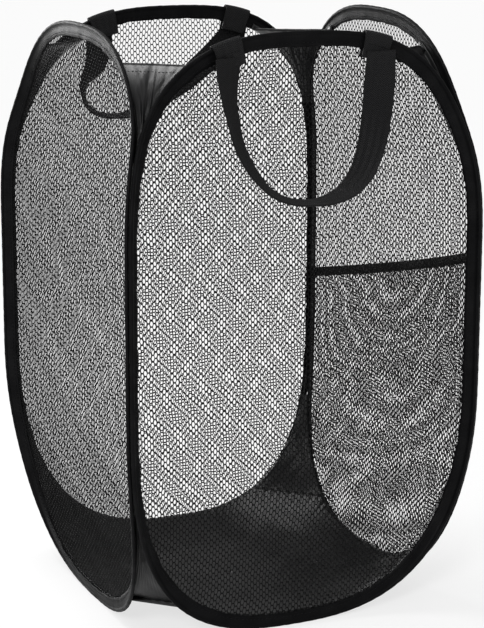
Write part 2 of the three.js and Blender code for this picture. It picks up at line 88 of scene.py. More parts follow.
def toLinear(hexColour):
    channels = [int(hexColour[i : i + 2], 16) / 255 for i in (1, 3, 5)]
    return [c / 12.92 if c <= 0.04045 else ((c + 0.055) / 1.055) ** 2.4 for c in channels] + [1]


def emptyTree(owner):
    owner.use_nodes = True
    owner.node_tree.nodes.clear()
    return owner.node_tree


# inputs are numbers, colours, another node's output, or a node, which stands for its first output
def addNode(tree, kind, inputs=None, **settings):
    node = tree.nodes.new(kind)
    for name, value in settings.items():
        setattr(node, name, value)
    for name, value in (inputs or {}).items():
        if isinstance(value, bpy.types.Node):
            value = value.outputs[0]
        if isinstance(value, bpy.types.NodeSocket):
            tree.links.new(value, node.inputs[name])
        else:
            node.inputs[name].default_value = value
    return node


def mathNode(tree, operation, *inputs):
    return addNode(tree, "ShaderNodeMath", dict(enumerate(inputs)), operation=operation)


# Numbers between low and high spread out between toLow and toHigh
def spread(tree, value, low, high, toLow, toHigh, **settings):
    return addNode(tree, "ShaderNodeMapRange", {0: value, 1: low, 2: high, 3: toLow, 4: toHigh}, **settings)


# Studio
studio = {
    "surround": 0.42,  # the world's level, which lights all sides alike
    "background": "#fbfbfb",
    "floorColour": "#fbfbfb",
    "paper": (0.5, 1.6),  # metres from the middle, between which the paper fades into the plain background
    "paperShow": 0.75,  # how much of the near paper is the plain background
    "floorSide": 60,  # metres
    "lamps": {  # place, aim, side in metres, watts
        "key": ((-2.9, -3.6, 2.9), (0, 0, 0.2), 1.2, 150),
        "fill": ((3.4, -2.2, 2.9), (0, 0, 0.3), 1.6, 30),
        "top": ((-0.6, 1.4, 3.4), (0, 0, 0.4), 1.4, 70),
        "rim": ((-0.9, 3.0, 0.85), (-0.1, 0, 0.48), 1.5, 75),
    },
}


def lightStudio(spec):
    world = bpy.data.worlds.new("studio")
    tree = emptyTree(world)
    seen = addNode(tree, "ShaderNodeLightPath").outputs["Is Camera Ray"]
    white = toLinear("#ffffff")
    plain = addNode(tree, "ShaderNodeBackground", {"Color": white, "Strength": spec["surround"]})
    pale = addNode(tree, "ShaderNodeBackground", {"Color": toLinear(spec["background"]), "Strength": 1})
    mixed = addNode(tree, "ShaderNodeMixShader", {0: seen, 1: plain, 2: pale})
    addNode(tree, "ShaderNodeOutputWorld", {"Surface": mixed})
    scene.world = world
    for name, (place, aim, side, watts) in spec["lamps"].items():
        data = bpy.data.lights.new(name, "AREA")
        data.size, data.energy = side, watts
        lamp = bpy.data.objects.new(name, data)
        away = np.subtract(place, aim)
        lamp.location = place
        lamp.rotation_euler = (math.acos(away[2] / np.linalg.norm(away)), 0, math.atan2(away[0], -away[1]))
        scene.collection.objects.link(lamp)


def paperFloor(spec):
    material = bpy.data.materials.new("seamlessPaper")
    tree = emptyTree(material)
    seen = addNode(tree, "ShaderNodeLightPath").outputs["Is Camera Ray"]
    matt = addNode(tree, "ShaderNodeBsdfDiffuse", {"Color": toLinear(spec["floorColour"])})
    plain = addNode(tree, "ShaderNodeEmission", {"Color": toLinear(spec["background"]), "Strength": 1})
    place = addNode(tree, "ShaderNodeNewGeometry").outputs["Position"]
    away = addNode(tree, "ShaderNodeVectorMath", {0: place}, operation="LENGTH").outputs["Value"]
    fade = spread(tree, away, *spec["paper"], spec["paperShow"], 1, interpolation_type="SMOOTHSTEP")
    share = mathNode(tree, "MULTIPLY", seen, fade)
    mixed = addNode(tree, "ShaderNodeMixShader", {0: share, 1: matt, 2: plain})
    addNode(tree, "ShaderNodeOutputMaterial", {"Surface": mixed})
    half = spec["floorSide"] / 2
    mesh = bpy.data.meshes.new("paperFloor")
    points = [(-half, -half, 0), (half, -half, 0), (half, half, 0), (-half, half, 0)]
    mesh.from_pydata(points, [], [(0, 1, 2, 3)])
    mesh.materials.append(material)
    paper = bpy.data.objects.new("paperFloor", mesh)
    scene.collection.objects.link(paper)


lightStudio(studio)
paperFloor(studio)
print("camera, lights and floor made")

# Materials. Patterns run on the mesh's own map, "cloth", whose unit is a metre of cloth. Dull fibres catch
# most of what a smooth skin would mirror, so their specular levels are far below the usual 0.5.


def newMaterial(name):
    material = bpy.data.materials.new(name)
    tree = emptyTree(material)
    return material, tree, addNode(tree, "ShaderNodeUVMap", uv_map="cloth")


def closeMaterial(material, tree, inputs):
    shader = addNode(tree, "ShaderNodeBsdfPrincipled", inputs)
    addNode(tree, "ShaderNodeOutputMaterial", {"Surface": shader})
    return material


def noise(tree, cloth, grainMm, detail, **settings):
    inputs = {"Vector": cloth, "Scale": 1 / (grainMm * mm), "Detail": detail}
    return addNode(tree, "ShaderNodeTexNoise", inputs, **settings)


def shades(tree, share, dark, light):
    inputs = {0: share, 6: toLinear(dark), 7: toLinear(light)}
    return addNode(tree, "ShaderNodeMix", inputs, data_type="RGBA").outputs[2]


def relief(tree, height, strength, depthMm, **below):
    inputs = {"Strength": strength, "Distance": depthMm * mm, "Height": height, **below}
    return addNode(tree, "ShaderNodeBump", inputs)


# Black woven polyester tape, dyed and heat set: dull, with fine cross ribs and a soft grey sheen where it
# turns to the light. The real ribs are 0.6 mm apart and are drawn at 1.5 mm, so that they show. The sewing
# thread is made the same way, and its ribs are its own twist.
def wovenTape(name, dark, light, ribMm, roughness):
    material, tree, cloth = newMaterial(name)
    along = addNode(tree, "ShaderNodeSeparateXYZ", {0: cloth}).outputs["X"]
    ribs = mathNode(tree, "SINE", mathNode(tree, "MULTIPLY", along, 2 * math.pi / (ribMm * mm)))
    wear = noise(tree, cloth, 22, 3)
    fuzz = noise(tree, cloth, 0.9, 2)
    return closeMaterial(material, tree, {
        "Base Color": shades(tree, spread(tree, wear, 0.35, 0.7, 0, 1), dark, light),
        "Roughness": spread(tree, wear, 0.3, 0.7, roughness + 0.06, roughness - 0.06),
        "Normal": relief(tree, mathNode(tree, "MULTIPLY_ADD", fuzz, 1.2, ribs), 0.5, 0.12),
        "Specular IOR Level": 0.06,
        "Sheen Weight": 0.01,
        "Sheen Roughness": 0.4,
    })


# Black knitted polyester yarn: matt and slightly fuzzy, with the twist of the yarn drawn at 1.1 mm, where
# the real one is 0.4 mm.
def knittedYarn():
    material, tree, cloth = newMaterial("knittedPolyesterYarn")
    twist = noise(tree, cloth, 1.1, 2)
    return closeMaterial(material, tree, {
        "Base Color": shades(tree, twist, "#070707", "#101011"),
        "Roughness": 0.62,
        "Normal": relief(tree, twist, 0.4, 0.1),
        "Specular IOR Level": 0.06,
    })


# Black nylon taffeta, calendered on one side: smooth and satin, with soft highlights along its creases.
# Its threads are 0.25 mm apart and are drawn at 1.2 mm, so that they show. It mirrors more than the dull
# cloths, yet less than a plain skin, because of the gaps between its threads.
def nylonTaffeta():
    material, tree, cloth = newMaterial("calenderedNylonTaffeta")
    place = addNode(tree, "ShaderNodeSeparateXYZ", {0: cloth})
    pitch = 2 * math.pi / (1.2 * mm)
    phases = [mathNode(tree, "MULTIPLY", place.outputs[axis], pitch) for axis in "XY"]
    weave = mathNode(tree, "MULTIPLY", *[mathNode(tree, "SINE", phase) for phase in phases])
    crumple = noise(tree, cloth, 38, 3, noise_type="RIDGED_MULTIFRACTAL")
    folds = relief(tree, crumple, 0.35, 1.2)
    shade = noise(tree, cloth, 30, 2)
    return closeMaterial(material, tree, {
        "Base Color": shades(tree, shade, "#040405", "#0b0b0c"),
        "Roughness": spread(tree, shade, 0.3, 0.7, 0.36, 0.27),
        "Normal": relief(tree, weave, 0.3, 0.1, Normal=folds),
        "Specular IOR Level": 0.34,
        "Sheen Weight": 0.02,
        "Sheen Roughness": 0.35,
    })


# Black polypropylene webbing, herringbone woven: dull ribs that lean one way and then the other in bands
# 3.5 mm wide, with a painted highlight along each rib's crest. The real ribs are 1.1 mm apart and are drawn
# at 2 mm.
def herringboneWebbing():
    material, tree, cloth = newMaterial("herringboneWebbing")
    place = addNode(tree, "ShaderNodeSeparateXYZ", {0: cloth})
    bands = mathNode(tree, "PINGPONG", place.outputs["Y"], 3.5 * mm)
    slant = mathNode(tree, "ADD", place.outputs["X"], bands)
    ribs = mathNode(tree, "SINE", mathNode(tree, "MULTIPLY", slant, 2 * math.pi / (2 * mm)))
    weave = mathNode(tree, "MULTIPLY_ADD", noise(tree, cloth, 0.8, 2), 1.4, ribs)
    return closeMaterial(material, tree, {
        # painted highlight: the base colour is lighter along the rib crests, and it also varies at random
        # with the fuzz
        "Base Color": shades(tree, spread(tree, weave, -1, 2, 0, 1), "#040404", "#232324"),
        "Roughness": 0.55,
        "Normal": relief(tree, weave, 0.8, 0.3),
        "Specular IOR Level": 0.06,
        "Sheen Weight": 0.01,
    })


# Drawn spring steel and zinc-plated steel: bright metal with fine lines along the way it was drawn.
def drawnMetal(name, dark, light, roughness):
    material, tree, cloth = newMaterial(name)
    stretch = addNode(tree, "ShaderNodeMapping", {"Vector": cloth, "Scale": (20, 3000, 1)})
    lines = addNode(tree, "ShaderNodeTexNoise", {"Vector": stretch, "Scale": 1, "Detail": 2})
    return closeMaterial(material, tree, {
        "Base Color": shades(tree, lines, dark, light),
        "Roughness": spread(tree, lines, 0.3, 0.7, roughness, roughness + 0.12),
        "Metallic": 1,
    })


tapeFinish = wovenTape("wovenPolyesterTape", "#050506", "#0c0c0d", 1.5, 0.5)
threadFinish = wovenTape("bondedNylonThread", "#0a0a0b", "#161617", 0.8, 0.38)
yarnFinish = knittedYarn()
nylonFinish = nylonTaffeta()
webbingFinish = herringboneWebbing()
springFinish = drawnMetal("drawnSpringSteel", "#5c5f62", "#8f9396", 0.3)
zincFinish = drawnMetal("zincPlatedSteel", "#8d9193", "#b4b8ba", 0.38)
print("materials made")

# Meshes. A part is its points, lists of faces with as many corners each, and each corner's place on the
# cloth.


def makePiece(name, parts, finish, body, replaces=()):
    loops, counts, cloth, base = [], [], [], 0
    for part in parts:
        way = -1 if insideOut(part) else 1
        for faces, places in zip(part["faces"], part["cloth"]):
            loops.append((faces[:, ::way] + base).ravel())
            cloth.append(places[:, ::way].reshape(-1, 2))
            counts.append(np.full(len(faces), faces.shape[1]))
        base += len(part["points"])
    points = lean(np.concatenate([part["points"] for part in parts])) * mm
    loops, counts = np.concatenate(loops), np.concatenate(counts)
    mesh = bpy.data.meshes.new(name)
    mesh.vertices.add(len(points))
    mesh.vertices.foreach_set("co", points.ravel())
    mesh.loops.add(len(loops))
    mesh.loops.foreach_set("vertex_index", loops.astype(np.int32))
    mesh.polygons.add(len(counts))
    mesh.polygons.foreach_set("loop_start", (np.cumsum(counts) - counts).astype(np.int32))
    mesh.update(calc_edges=True)
    mesh.uv_layers.new(name="cloth").data.foreach_set("uv", (np.concatenate(cloth) * mm).ravel())
    mesh.validate()
    mesh.shade_smooth()
    mesh.materials.append(finish)
    made = bpy.data.objects.new(name, mesh)
    scene.collection.objects.link(made)
    if body:
        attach(made, body)
    if replaces:
        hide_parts(*replaces)
    return made


# True if a closed part's faces point inwards
def insideOut(part):
    volume = 0
    for faces in part["faces"]:
        first = part["points"][faces[:, 0]]
        for k in range(1, faces.shape[1] - 1):
            second, third = part["points"][faces[:, k]], part["points"][faces[:, k + 1]]
            volume += np.einsum("ij,ij->", first, np.cross(second, third))
    return volume < 0


def gridCorners(rows, columns):
    i, j = np.meshgrid(np.arange(rows), np.arange(columns), indexing="ij")
    i, j = i.ravel(), j.ravel()
    return np.stack([i, i, i + 1, i + 1], 1), np.stack([j, j + 1, j + 1, j], 1)


# Sections joined one to the next. along and across are the cloth's places, one more than the spans
def sweep(sections, along, across, closed):
    rows, columns = sections.shape[:2]
    i, j = gridCorners(len(along) - 1, columns)
    faces = (i % rows) * columns + j % columns
    cloth = np.stack([along[i], across[j]], 2)
    made = {"points": sections.reshape(-1, 3), "faces": [faces], "cloth": [cloth]}
    if not closed:
        ends = np.stack([np.arange(columns)[::-1], (rows - 1) * columns + np.arange(columns)])
        made["faces"].append(ends)
        made["cloth"].append(np.zeros((2, columns, 2)))
    return made


def unit(vectors):
    return vectors / np.linalg.norm(vectors, axis=-1, keepdims=True)


# How far along a line each of its points lies
def lengthAlong(line):
    return np.concatenate([[0], np.cumsum(np.linalg.norm(np.diff(line, axis=0), axis=1))])


def girth(section):
    return lengthAlong(np.concatenate([section, section[:1]]))


def pointsAt(places, steps, line):
    return np.stack([np.interp(places, steps, line[:, k]) for k in range(3)], -1)


# A grid of points given a thickness, with walls round its edge
def thickSheet(grid, thickness):
    rows, columns = grid.shape[:2]
    normal = unit(np.cross(np.gradient(grid, axis=0), np.gradient(grid, axis=1)))
    points = np.concatenate([(grid + normal * off).reshape(-1, 3) for off in (thickness / 2, -thickness / 2)])
    spans = [np.linalg.norm(np.diff(grid, axis=k), axis=2).mean(1 - k) for k in (0, 1)]
    along, across = [np.concatenate([[0], np.cumsum(span)]) for span in spans]
    i, j = gridCorners(rows - 1, columns - 1)
    faces = i * columns + j
    cloth = np.stack([along[i], across[j]], 2)
    under = rows * columns
    rim = np.concatenate([
        np.arange(columns),
        np.arange(1, rows) * columns + columns - 1,
        (rows - 1) * columns + np.arange(columns - 1)[::-1],
        np.arange(1, rows - 1)[::-1] * columns,
    ])
    after = np.roll(rim, -1)
    walls = np.stack([rim, rim + under, after + under, after], 1)
    return {
        "points": points,
        "faces": [faces, faces[:, ::-1] + under, walls],
        "cloth": [cloth, cloth[:, ::-1], np.zeros((len(walls), 4, 2))],
    }


def smooth(share):
    held = np.clip(share, 0, 1)
    return held * held * (3 - 2 * held)


# A slow, smooth wave of about one unit, the same on each run
def wander(places, wavelength, seed):
    draw = np.random.default_rng(seed)
    total = np.zeros_like(np.asarray(places, float))
    for octave in (1, 1.9, 3.3):
        total += np.sin(2 * np.pi * places * octave / wavelength + draw.uniform(0, 6.28)) / octave
    return total / 1.5


# Hoops: each one's outer edge is a rounded rectangle that leans in at the crown and foot.
# A wall's own axes are x along it, y into the hamper and z from the middle of its height.
hoop = {
    "hamperWidth": 356,
    "hamperHeight": 560,
    "crownLean": 24,
    "footLean": 30,
    "crownRoundness": 1,
    "footRoundness": 2.2,
    "join": 4,  # how sharply a hoop leaves its neighbour where the corner opens
    "roundness": 2.7,
    "straight": 124,
    "straightLift": 16,
    "finAngle": math.pi / 4,  # how far a casing turns out of its wall, halfway up
    "finRoundness": 4,
    "casingWidth": 14,
    "beadRadius": 1.9,
    "casingSpacing": 0.3,
    "samples": 2880,
}


# Two neighbours stay side by side as long as each leans in as much as the other narrows. Further up and
# down they lean less than that, so the corner between them opens.
def leanAt(height, narrowing):
    rise = np.abs(height / (hoop["hamperHeight"] / 2))
    crown, foot = [hoop[end + "Lean"] * rise ** hoop[end + "Roundness"] for end in ("crown", "foot")]
    most = np.maximum(np.where(height > 0, crown, foot), 1e-4)
    return (np.maximum(narrowing, 1e-4) ** -hoop["join"] + most ** -hoop["join"]) ** (-1 / hoop["join"])


# A wall's right half runs from the middle of its foot to the middle of its crown
rightSide = slice(0, hoop["samples"] // 2 + 1)


def traceHoop():
    halfHeight = hoop["hamperHeight"] / 2
    halfWidth = hoop["hamperWidth"] / 2 - math.sqrt(2) * (hoop["beadRadius"] + hoop["casingSpacing"] / 2)
    top = hoop["straightLift"] + hoop["straight"] / 2
    bottom = hoop["straightLift"] - hoop["straight"] / 2
    power = 2 / hoop["roundness"]
    angle = np.linspace(-np.pi / 2, 1.5 * np.pi, 6 * hoop["samples"] + 1)
    across, rise = [np.sign(v) * np.abs(v) ** power for v in (np.cos(angle), np.sin(angle))]
    height = np.where(rise < 0, bottom + (halfHeight + bottom) * rise, top + (halfHeight - top) * rise)
    edge = np.stack([halfWidth * across, leanAt(height, halfWidth * (1 - np.abs(across))), height], 1)
    edge[0] = edge[-1] = [0, hoop["footLean"], -halfHeight]
    length = lengthAlong(edge)
    reach = np.linspace(0, length[-1], hoop["samples"] + 1)
    edge = pointsAt(reach, length, edge)
    along = unit(np.roll(edge[:-1], -1, 0) - np.roll(edge[:-1], 1, 0))
    along = np.concatenate([along, along[:1]])
    height = edge[:, 2]
    levels = np.linspace(-halfHeight, halfHeight, 561)  # a millimetre apart
    depths = np.interp(levels, height[rightSide], edge[rightSide, 1])
    slope = np.interp(height, levels, np.gradient(depths, levels))
    inPlane = unit(np.cross([0, 1, 0], along))
    inPlane[:, 1] += slope * inPlane[:, 2]
    inPlane = unit(inPlane)
    turn = hoop["finAngle"] * (1 - np.minimum(1, np.abs(height) / halfHeight) ** hoop["finRoundness"])
    fin = inPlane * np.cos(turn)[:, None] - np.outer(np.sin(turn), [0, 1, 0])
    fin = unit(fin - along * np.einsum("ij,ij->i", fin, along)[:, None])
    inside = unit(np.cross(along, fin))
    seam = edge - hoop["casingWidth"] * fin
    return {"reach": reach, "edge": edge, "fin": fin, "inside": inside, "seam": seam}


hoopLine = traceHoop()
hoopLength = hoopLine["reach"][-1]
seamHeights = hoopLine["seam"][rightSide, 2]
beadOut = hoop["casingWidth"] - hoop["beadRadius"]  # from the seam to the middle of the bead


# Points beside the hoop, at distances along it from its foot: out along the casing from its seam, and
# inwards
def besideHoop(reach, out, inward):
    places = np.mod(np.asarray(reach, float), hoopLength)
    seam, fin, inside = [pointsAt(places, hoopLine["reach"], hoopLine[k]) for k in ("seam", "fin", "inside")]
    out, inward = np.asarray(out, float)[..., None], np.asarray(inward, float)[..., None]
    return seam + unit(fin) * out + unit(inside) * inward


def reachAtSeam(height):
    return np.interp(height, seamHeights, hoopLine["reach"][rightSide])


def wallDepth(height):
    return np.interp(height, seamHeights, hoopLine["seam"][rightSide, 1])


def seamReach(height):
    return np.interp(height, seamHeights, hoopLine["seam"][rightSide, 0])


# A wall's flat place to a place on the hamper: off is outwards from the net. Past the seam the cloth turns
# and goes on between the casing's two layers.
seamPolar = np.unwrap(np.arctan2(hoopLine["seam"][:, 2], hoopLine["seam"][:, 0]))
seamRadius = np.linalg.norm(hoopLine["seam"][:, [0, 2]], axis=1)


def beyondSeam(x, z):
    polar = np.arctan2(z, x)
    polar = np.where(polar < seamPolar[0], polar + 2 * np.pi, polar)
    reach = np.interp(polar, seamPolar, hoopLine["reach"])
    return np.hypot(x, z) - np.interp(polar, seamPolar, seamRadius), reach


def onWall(x, z, off):
    beyond, reach = beyondSeam(x, z)
    inner = np.stack([x, wallDepth(z) - off, z], -1)
    outer = besideHoop(reach, np.maximum(beyond, 0), -off * np.ones_like(x))
    return np.where((beyond > 0)[..., None], outer, inner)


sideTurns = {"front": 0, "right": 1, "back": 2, "left": 3}


# A quarter turn at a time round the hamper's middle
def turned(points, quarters):
    c, s = [(1, 0), (0, 1), (-1, 0), (0, -1)][quarters % 4]
    x, y, z = points[..., 0], points[..., 1], points[..., 2]
    return np.stack([c * x - s * y, s * x + c * y, z], -1)


def stand(points, side):
    return turned(points + [0, -hoop["hamperWidth"] / 2, hoop["hamperHeight"] / 2], sideTurns[side])


# The photographed hamper stands a little taller on its right side
leaning = {"lift": 6, "sharpness": 8, "from": 20, "to": 170}


def lean(points):
    share = smooth((points[:, 0] - leaning["from"]) / (leaning["to"] - leaning["from"]))
    up = np.clip(points[:, 2] / hoop["hamperHeight"], 0, None)
    rise = leaning["lift"] * share * up ** leaning["sharpness"]
    return points + rise[:, None] * [0, 0, 1]


def standPart(part, side):
    return {**part, "points": stand(part["points"], side)}


def turnedPart(part, quarters):
    return {**part, "points": turned(part["points"], quarters)}


# Stitches: short capsules of thread that dip into the cloth at both ends
thread = {"length": 3.3, "radius": 0.32, "lift": 0.28, "rings": 5, "sides": 5}


def stitches(centres, alongs, ups):
    half, radius, rings, sides = thread["length"] / 2, thread["radius"], thread["rings"], thread["sides"]
    t = np.linspace(-1, 1, rings)
    around = np.linspace(0, 2 * np.pi, sides, endpoint=False)
    fat = radius * np.sqrt(1.05 - t**2)  # a little over 1, so that the ends keep some width
    lift = thread["lift"] * (1 - 2 * t**2)
    shape = np.stack([
        np.repeat(t * half, sides),
        np.repeat(lift, sides) + np.outer(fat, np.cos(around)).ravel(),
        np.outer(fat, np.sin(around)).ravel(),
    ])
    alongs, ups = unit(alongs), unit(ups)
    axes = (alongs, ups, np.cross(alongs, ups))
    points = centres[:, None] + sum(axis[:, None] * row[None, :, None] for axis, row in zip(axes, shape))
    i, j = gridCorners(rings - 1, sides)
    faces = i * sides + j % sides
    caps = np.stack([np.arange(sides)[::-1], (rings - 1) * sides + np.arange(sides)])
    base = (np.arange(len(centres)) * shape.shape[1])[:, None, None]
    cloth = np.stack([i * half / 2, j * radius], 2)
    return {
        "points": points.reshape(-1, 3),
        "faces": [(faces[None] + base).reshape(-1, 4), (caps[None] + base).reshape(-1, sides)],
        "cloth": [np.tile(cloth, (len(centres), 1, 1)), np.zeros((2 * len(centres), sides, 2))],
    }


# A row of stitches along a line of points, with ups that point out of the cloth
def stitchRow(line, ups, spacing):
    steps = lengthAlong(line)
    at = np.arange(spacing / 2, steps[-1] - spacing / 4, spacing)
    centres, ahead, behind = [pointsAt(at + shift, steps, line) for shift in (0, spacing / 3, -spacing / 3)]
    return stitches(centres, ahead - behind, pointsAt(at, steps, ups))


def flatten(piece):
    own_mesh(piece)


# A piece of one wall, made of parts in the wall's own axes
def wallPiece(name, side, parts, finish, replaces=(), body="panel"):
    parts = [standPart(part, side) for part in parts]
    made = makePiece(name, parts, finish, f"{side}_{body}", replaces)
    flatten(made)
    return made


# Casings: a tape folded round the wire and sewn to itself and to the net along the wall's edge
casing = {
    "half": 0.75,  # of the folded tape where its layers lie together
    "tape": 0.45,
    "bulge": 0.45,  # of the bead over the ferrule
    "bulgeReach": 12,
    "bulgeEnd": 4,
    "steps": 430,
    "loose": 9,  # the width, from the seam, that ripples
    "flutter": 0.45,  # how far it ripples
    "ripples": (46, 17),  # the ripples' lengths
    "stray": 0.35,  # how far the sewn edge strays, in waves of strayWave
    "strayWave": 31,
    "beadFrom": (6, 9),  # from the seam, where the bead sets in
    "pucker": 0.075,  # the share by which the bead swells between stitches, in waves of puckerWave
    "puckerWave": 12.6,
    "stitchOut": 3.4,  # from the seam to the row of stitches
    "stitchSpacing": 4.2,
}


def casingSection():
    path = []
    for shrink, sides in ((0, 16), (casing["tape"], 10)):
        radius, half = hoop["beadRadius"] - shrink, casing["half"] - shrink
        gap = math.asin(half / radius)
        around = np.linspace(np.pi + gap, 3 * np.pi - gap, sides)
        arc = np.stack([beadOut + radius * np.cos(around), radius * np.sin(around)], 1)
        flange = np.linspace(0, beadOut - radius * math.cos(gap), 5)[:-1]
        lower = np.stack([flange, np.full(4, -half)], 1)
        upper = np.stack([flange[::-1], np.full(4, half)], 1)
        path.append(np.concatenate([lower, arc, upper]))
    return np.concatenate([path[0], path[1][::-1]])


def rippling(reach, seed):
    long, short = casing["ripples"]
    return casing["flutter"] * (wander(reach, long, seed) + 0.5 * wander(reach, short, seed + 1))


def makeCasing(side, seed):
    section = casingSection()
    reach = np.linspace(0, hoopLength, casing["steps"], endpoint=False)
    out, inward = [np.broadcast_to(section[:, k], (len(reach), len(section))).copy() for k in (0, 1)]
    looseShare = np.clip(1 - out / casing["loose"], 0, 1)
    beadStart, beadEnd = casing["beadFrom"]
    beadShare = np.clip((out - beadStart) / (beadEnd - beadStart), 0, 1)
    inward += rippling(reach, seed)[:, None] * looseShare
    fromFoot = np.minimum(reach, hoopLength - reach)
    bulge = casing["bulge"] * smooth((casing["bulgeReach"] - fromFoot) / casing["bulgeEnd"])[:, None]
    pucker = casing["pucker"] * wander(reach, casing["puckerWave"], seed + 2)[:, None]
    swell = 1 + (bulge / hoop["beadRadius"] + pucker) * beadShare
    inward *= swell
    out = beadOut + (out - beadOut) * swell - bulge * beadShare
    out += casing["stray"] * wander(reach, casing["strayWave"], seed + 3)[:, None] * looseShare
    sections = besideHoop(reach[:, None], out, inward)
    tape = sweep(sections, np.append(reach, hoopLength), girth(section), closed=True)
    wallPiece(side + "_casing", side, [tape], tapeFinish, [side + "_hoop_casing"])
    at = np.linspace(0, hoopLength, 1200)
    shift = rippling(at, seed) * (1 - casing["stitchOut"] / casing["loose"])
    middle = besideHoop(at, casing["stitchOut"], shift)
    rows = []
    for half in (-casing["half"], casing["half"]):
        line = besideHoop(at, casing["stitchOut"], half + shift)
        rows.append(stitchRow(line, line - middle, casing["stitchSpacing"]))
    wallPiece(side + "_casing_stitches", side, rows, threadFinish)


for number, side in enumerate(sideTurns):
    makeCasing(side, 10 * number + 3)
print("casings made")

# Wires and ferrules, inside the casings
wire = {
    "radius": 1.1,
    "sides": 10,
    "steps": 360,
    "endGap": 1,
    "ferruleOuter": 1.7,
    "ferruleInner": 1.3,
    "ferruleLength": 18,
    "ferruleSides": 24,
    "ferruleSteps": 31,
    "crimp": 0.25,
    "crimpAt": 0.25,  # of the length, to each side of the middle
    "crimpWidth": 0.05,
}


def makeWire(side):
    around = np.linspace(0, 2 * np.pi, wire["sides"], endpoint=False)
    reach = np.linspace(wire["endGap"] / 2, hoopLength - wire["endGap"] / 2, wire["steps"])
    out, inward = beadOut + wire["radius"] * np.cos(around), wire["radius"] * np.sin(around)
    turns = np.linspace(0, 2 * np.pi * wire["radius"], wire["sides"] + 1)
    rod = sweep(besideHoop(reach[:, None], out, inward), reach, turns, closed=False)
    wallPiece(side + "_wire", side, [rod], springFinish, [side + "_wire_hoop"])
    place = np.linspace(-0.5, 0.5, wire["ferruleSteps"])
    fromCrimps = [(place - at) / wire["crimpWidth"] for at in (wire["crimpAt"], -wire["crimpAt"])]
    dents = sum(np.exp(-(far**2)) for far in fromCrimps)
    outside = wire["ferruleOuter"] - wire["crimp"] * dents
    radius = np.concatenate([outside, np.full(len(place), wire["ferruleInner"])])[:, None]
    reach = np.concatenate([place, place[::-1]])[:, None] * wire["ferruleLength"]
    around = np.linspace(0, 2 * np.pi, wire["ferruleSides"], endpoint=False)
    rings = besideHoop(reach, beadOut + radius * np.cos(around), radius * np.sin(around))
    tube = sweep(rings, np.arange(len(rings) + 1) * 0.6, np.linspace(0, 12, len(around) + 1), closed=True)
    wallPiece(side + "_ferrule", side, [tube], zincFinish, [side + "_wire_ferrule"])


for side in sideTurns:
    makeWire(side)
print("wires and ferrules made")

# Nets: a knitted lattice of tall hexagonal holes, one closed mesh. A strand is lens shaped in section.
net = {
    "cellWidth": 6.15,
    "cellHeight": 6.3,
    "join": 2.1,  # the width of a hole's top and bottom, where two chains of stitches meet
    "strand": 0.8,
    "thickness": 0.7,
    "underCasing": 1.5,  # how far past the seam a hole's middle may lie
    "warp": 1.1,
    "warpWaves": (95, 120),
    "halfCells": (60, 90),  # half holes across and up from the middle, more than a wall has
    "flat": (0.331, 0.536),  # metres, cut size
    "cutShare": 0.41,  # of that rectangle, the area of the net's own strands
}


def netPart(isIn, placeAt, shift):
    halfWide, halfHigh, join = net["cellWidth"] / 2, net["cellHeight"] / 2, net["join"] / 2
    counts = [np.arange(-most, most + 1) for most in net["halfCells"]]
    p, q = [v.ravel() for v in np.meshgrid(*counts)]
    even = (p + q) % 2 == 0
    p, q = p[even], q[even]
    x, z = p * halfWide + shift[0], q * halfHigh + shift[1]
    kept = isIn(x, z)
    p, q, x, z = p[kept], q[kept], x[kept], z[kept]
    # a hub is the corner to the right, 1, or left, 0, of a hole: from each hole, the steps to its six hubs
    steps = [(-1, 1, 1), (1, 1, 0), (0, 0, 1), (1, -1, 0), (-1, -1, 1), (0, 0, 0)]
    places = np.stack([np.stack([p + a, q + b, np.full_like(p, right)], 1) for a, b, right in steps], 1)
    found, hub = np.unique(places.reshape(-1, 3), axis=0, return_inverse=True)
    hub = hub.reshape(places.shape[:2])
    hubX = found[:, 0] * halfWide + np.where(found[:, 2], 1, -1) * (halfWide - join) + shift[0]
    hubZ = found[:, 1] * halfHigh + shift[1]
    reach = (halfWide - join) * halfHigh / math.hypot(halfHigh, halfWide - 2 * join)
    draw = 1 - net["strand"] / 2 / reach
    innerX = x[:, None] + draw * (hubX[hub] - x[:, None])
    innerZ = z[:, None] + draw * (hubZ[hub] - z[:, None])
    flatX, flatZ = np.concatenate([hubX, innerX.ravel()]), np.concatenate([hubZ, innerZ.ravel()])
    middle = placeAt(flatX, flatZ)
    aside = placeAt(flatX + 0.4, flatZ) - placeAt(flatX - 0.4, flatZ)
    up = placeAt(flatX, flatZ + 0.4) - placeAt(flatX, flatZ - 0.4)
    lift = unit(np.cross(aside, up)) * net["thickness"] / 2
    hubs, cells = len(hubX), len(x)
    points = np.concatenate([middle[:hubs] + lift[:hubs], middle[:hubs] - lift[:hubs], middle[hubs:]])
    inner = 2 * hubs + np.arange(6 * cells).reshape(cells, 6)
    nextHub, nextInner = np.roll(hub, -1, 1), np.roll(inner, -1, 1)
    top = np.stack([hub, nextHub, nextInner, inner], 2).reshape(-1, 4)
    under = np.stack([nextHub + hubs, hub + hubs, inner, nextInner], 2).reshape(-1, 4)
    ahead, back = hub.ravel() * hubs + nextHub.ravel(), nextHub.ravel() * hubs + hub.ravel()
    free = ~np.isin(back, ahead)
    a, b = hub.ravel()[free], nextHub.ravel()[free]
    rim = np.stack([b, a, a + hubs, b + hubs], 1)
    flat = np.stack([np.concatenate([hubX, flatX]), np.concatenate([hubZ, flatZ])], 1)
    return {"points": points, "faces": [top, under, rim], "cloth": [flat[top], flat[under], flat[rim]]}


# Drawn a little out of true, as a net is when it is sewn in
def warped(x, z, seed):
    aside = wander(z + 0.4 * x, net["warpWaves"][0], seed)
    up = wander(x - 0.3 * z, net["warpWaves"][1], seed + 1)
    return x + net["warp"] * aside, z + net["warp"] * up


